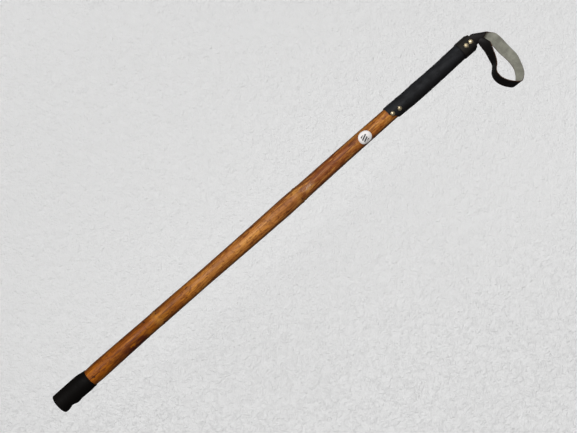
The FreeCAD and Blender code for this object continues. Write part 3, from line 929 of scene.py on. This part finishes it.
# ---------------------------------------------------------------- rubber ferrule
FERRULE_OUT = FERRULE_HIGH.y
FERRULE_LIP = FERRULE_OUT - 1.5 * MM
FERRULE_BORE = 15.9 * MM
NOTCH_HEIGHT = 17 * MM
WALL_TOP = 56 * MM                  # the straight wall ends and the taper to the lip begins
GROOVES = ((5 * MM, 7 * MM), (10.5 * MM, 12.5 * MM))
GROOVE_DEPTH = 1.5 * MM


def groove_outline(inside, outside):
    """One tread groove under the foot, with slightly leaning walls."""
    lean = 0.15 * MM
    corner = 0.2 * MM
    return [
        (inside - 1.2 * MM, 0.0),
        (inside - lean, 0.0),
        (inside, corner),
        (inside + lean, GROOVE_DEPTH),
        (outside - lean, GROOVE_DEPTH),
        (outside, corner),
        (outside + lean, 0.0),
    ]


def ferrule_outline():
    """(radius, height): under the foot, round the worn edge, up the wall, over the lip, into the bore."""
    top = FERRULE_HIGH.z
    points = []
    for inside, outside in GROOVES:
        points += groove_outline(inside, outside)
    worn = 2.0 * MM
    for part in steps(0, 1, 6):
        bend = part * math.pi / 2
        points.append((FERRULE_OUT - worn + worn * math.sin(bend), worn - worn * math.cos(bend)))
    for height in steps(worn, WALL_TOP, 44)[1:]:
        points.append((FERRULE_OUT, height))
    taper = top - 2.2 * MM - WALL_TOP
    for part in steps(0, 1, 10)[1:]:
        radius = FERRULE_OUT + (FERRULE_LIP - FERRULE_OUT) * smooth(0, 1, part)
        points.append((radius, WALL_TOP + taper * part))
    lip_half = 0.55 * MM
    for part in steps(0, 1, 8)[1:]:
        bend = part * math.pi
        radius = FERRULE_LIP - lip_half + lip_half * math.cos(bend) + 0.18 * MM * math.sin(bend)
        points.append((radius, top - 1.1 * MM + 0.9 * MM * math.sin(bend)))
    points.append((FERRULE_BORE, top - 5 * MM))
    return points


def ferrule_surface(radius, height, angle):
    """Wear on the moulded shape: a torn notch low on the right, a bump above it and soft dents."""
    if radius < FERRULE_OUT * 0.8:
        return radius
    side = bell(angle_gap(angle, math.pi / 2), 0.62)
    radius -= 2.1 * MM * side * bell(height - NOTCH_HEIGHT, 5.4 * MM)
    radius += 1.0 * MM * side * bell(height - NOTCH_HEIGHT - 12 * MM, 4.5 * MM)
    radius += 0.25 * MM * side * bell(height - NOTCH_HEIGHT + 11 * MM, 4 * MM)
    radius += 0.16 * MM * wander(angle, height, 1.8, 60, 4.6) * smooth(0, 8 * MM, height)
    return radius


def make_ferrule():
    around = 96
    rows = []
    for radius, height in ferrule_outline():
        rows.append([
            on_stick(ferrule_surface(radius, height, TURN * j / around), TURN * j / around, height)
            + ferrule_drift(height)
            for j in range(around)
        ])
    piece = skin("rubber_ferrule", rows, cap_start=True)
    piece.data.materials.append(rubber_paint())
    return placed(piece, ROOT, "ferrule_rubber", "ferrule")


def rubber_paint():
    """Black moulded rubber, scuffed grey at the foot."""
    paint = Paint("black_rubber")
    grain = paint.cloud((900, 900, 900), 4, 0.6)
    scuff = paint.cloud((200, 200, 420), 5, 0.7, (3, 3, 3))
    low = paint.between(paint.axis("Z"), 0.0, 30 * MM, 0.75, 0.15)
    amount = paint.sum("MULTIPLY", paint.between(scuff, 0.52, 0.74), low)
    colour = paint.mix(amount, srgb(8, 6, 5), srgb(34, 30, 27))
    colour = paint.mix(paint.between(grain, 0.55, 0.75, 0.0, 0.4), colour, srgb(4, 3, 3))
    fine = paint.bump(grain, 0.35, 0.15 * MM)
    dents = paint.bump(paint.cloud((120, 120, 160), 4, 0.6), 0.4, 0.7 * MM, fine)
    rough = paint.between(scuff, 0.3, 0.75, 0.55, 0.82)
    return paint.finish(colour=colour, rough=rough, normal=dents, shine=0.07)


def finish_washer():
    """The washer is out of sight under the cane, so the CAD's own shape is kept."""
    washer = frame["nodes"]["ferrule_washer"]
    washer.data.materials.clear()
    washer.data.materials.append(steel_paint())


def steel_paint():
    """Zinc-plated washer with faint turning marks."""
    paint = Paint("plated_steel")
    marks = paint.cloud((300, 300, 3000), 4, 0.6)
    colour = paint.mix(paint.between(marks, 0.35, 0.7), srgb(176, 178, 180), srgb(128, 128, 126))
    rough = paint.between(marks, 0.3, 0.7, 0.28, 0.5)
    return paint.finish(colour=colour, rough=rough, metal=1.0, normal=paint.bump(marks, 0.2, 0.1 * MM))


# ---------------------------------------------------------------- stage
AIM = Vector((17.1 * MM, 0, 518 * MM))
TILT = math.radians(48.55)          # the picture's upright leans this far from the stick
VIEW_FROM = 1.75
FOCAL_MM = 62.4
FLOOR_REACH = 2.2
PLASTER_GAP = 1.1                   # the plaster lies this far behind the stick


def make_camera():
    """Looks square on at the front of the stick, turned so that the stick runs corner to corner."""
    data = bpy.data.cameras.new("camera")
    data.sensor_width = 36
    data.lens = FOCAL_MM
    camera = bpy.data.objects.new("camera", data)
    bpy.context.scene.collection.objects.link(camera)
    right = Vector((math.cos(TILT), 0, math.sin(TILT)))
    up = Vector((-math.sin(TILT), 0, math.cos(TILT)))
    turn = Matrix((right, up, Vector((0, -1, 0)))).transposed()
    camera.matrix_world = Matrix.Translation(AIM - Vector((0, VIEW_FROM, 0))) @ turn.to_4x4()
    bpy.context.scene.camera = camera
    return camera


def add_lamp(name, camera, offset, size, power):
    """An area lamp aimed at the stick; offset is right, up and towards the camera, as the camera sees."""
    data = bpy.data.lights.new(name, "AREA")
    data.shape = "RECTANGLE"
    data.size, data.size_y = size
    data.energy = power
    lamp = bpy.data.objects.new(name, data)
    bpy.context.scene.collection.objects.link(lamp)
    place = AIM + camera.matrix_world.to_3x3() @ Vector(offset)
    lamp.location = place
    lamp.rotation_mode = "QUATERNION"
    lamp.rotation_quaternion = (AIM - place).to_track_quat("-Z", "Y")
    lamp.visible_camera = False


def plaster_paint():
    """Pale trowelled plaster. It throws little light back, so that the stick's edges stay dark, and
    its back is clear, so that it never hides the stick. A faint glow, seen only by the camera, makes up
    for the lamp's falling off towards the right."""
    paint = Paint("pale_plaster")
    coarse = paint.cloud((40, 40, 40), 4, 0.6)
    fine = paint.cloud((170, 170, 170), 4, 0.7)
    trowelled = paint.sum("SUBTRACT", paint.axis("X"), paint.sum("MULTIPLY", paint.axis("Z"), 0.5))
    trowelled = paint.between(trowelled, -300 * MM, 400 * MM, 0.35, 1.0)
    ridges = paint.between(paint.cloud((75, 75, 75), 5, 0.62, (3, 1, 4), 0.8), 0.48, 0.62)
    fine = paint.sum("ADD", fine, paint.sum("MULTIPLY", ridges, paint.sum("MULTIPLY", trowelled, 0.25)))
    normal = paint.bump(fine, 0.8, 9 * MM, paint.bump(coarse, 0.5, 16 * MM))
    seen = paint.node("ShaderNodeLightPath").outputs["Is Camera Ray"]
    colour = paint.mix(seen, srgb(96, 96, 96), srgb(250, 250, 250))
    material = paint.finish(colour=colour, rough=0.9, normal=normal, shine=0.1)
    evened = paint.between(paint.axis("X"), -800 * MM, 800 * MM, 0.05, 0.18)
    paint.put(paint.shader.inputs["Emission Color"], srgb(255, 255, 255))
    paint.put(paint.shader.inputs["Emission Strength"], paint.sum("MULTIPLY", seen, evened))
    back = paint.node("ShaderNodeNewGeometry").outputs["Backfacing"]
    clear = paint.node("ShaderNodeBsdfTransparent").outputs[0]
    chooser = paint.node("ShaderNodeMixShader")
    paint.put(chooser.inputs[0], back)
    paint.put(chooser.inputs[1], paint.shader.outputs[0])
    paint.put(chooser.inputs[2], clear)
    paint.put(paint.tree.nodes["Material Output"].inputs[0], chooser.outputs[0])
    return material


def make_stage():
    camera = make_camera()
    rows = [
        [AIM + Vector((x, PLASTER_GAP, z)) for x in (-FLOOR_REACH, FLOOR_REACH)]
        for z in (-FLOOR_REACH, FLOOR_REACH)
    ]
    floor = skin("plaster_floor", rows, closed=False)
    floor.data.materials.append(plaster_paint())
    floor.visible_shadow = False    # the back lamp shines through it on to the stick's rear
    add_lamp("key", camera, (-1.2, 1.44, 4.6), (3.0, 3.0), 264)
    add_lamp("fill", camera, (1.6, -0.7, 2.2), (2.4, 2.4), 1.5)
    add_lamp("back", camera, (0.0, 0.2, -2.4), (1.4, 1.4), 40)
    world = bpy.data.worlds.new("studio")
    bpy.context.scene.world = world
    world.use_nodes = True
    nodes, links = world.node_tree.nodes, world.node_tree.links
    nodes["Background"].inputs["Color"].default_value = srgb(236, 236, 236)
    seen = nodes.new("ShaderNodeLightPath").outputs["Is Camera Ray"]
    strength = nodes.new("ShaderNodeMapRange")
    strength.inputs["To Min"].default_value = 0.2
    strength.inputs["To Max"].default_value = 0.8
    links.new(seen, strength.inputs["Value"])
    links.new(strength.outputs[0], nodes["Background"].inputs["Strength"])
    bpy.context.scene.view_settings.view_transform = "Standard"


# ---------------------------------------------------------------- build
make_shaft()
make_grip_wrap()
make_top_band()
make_end_disc()
make_strap()
make_tacks("hem_tack", "hem_tacks", HEM_TACKS)
make_tacks("strap_tack", "strap_tacks", STRAP_TACKS)
make_label()
make_ferrule()
finish_washer()
make_stage()
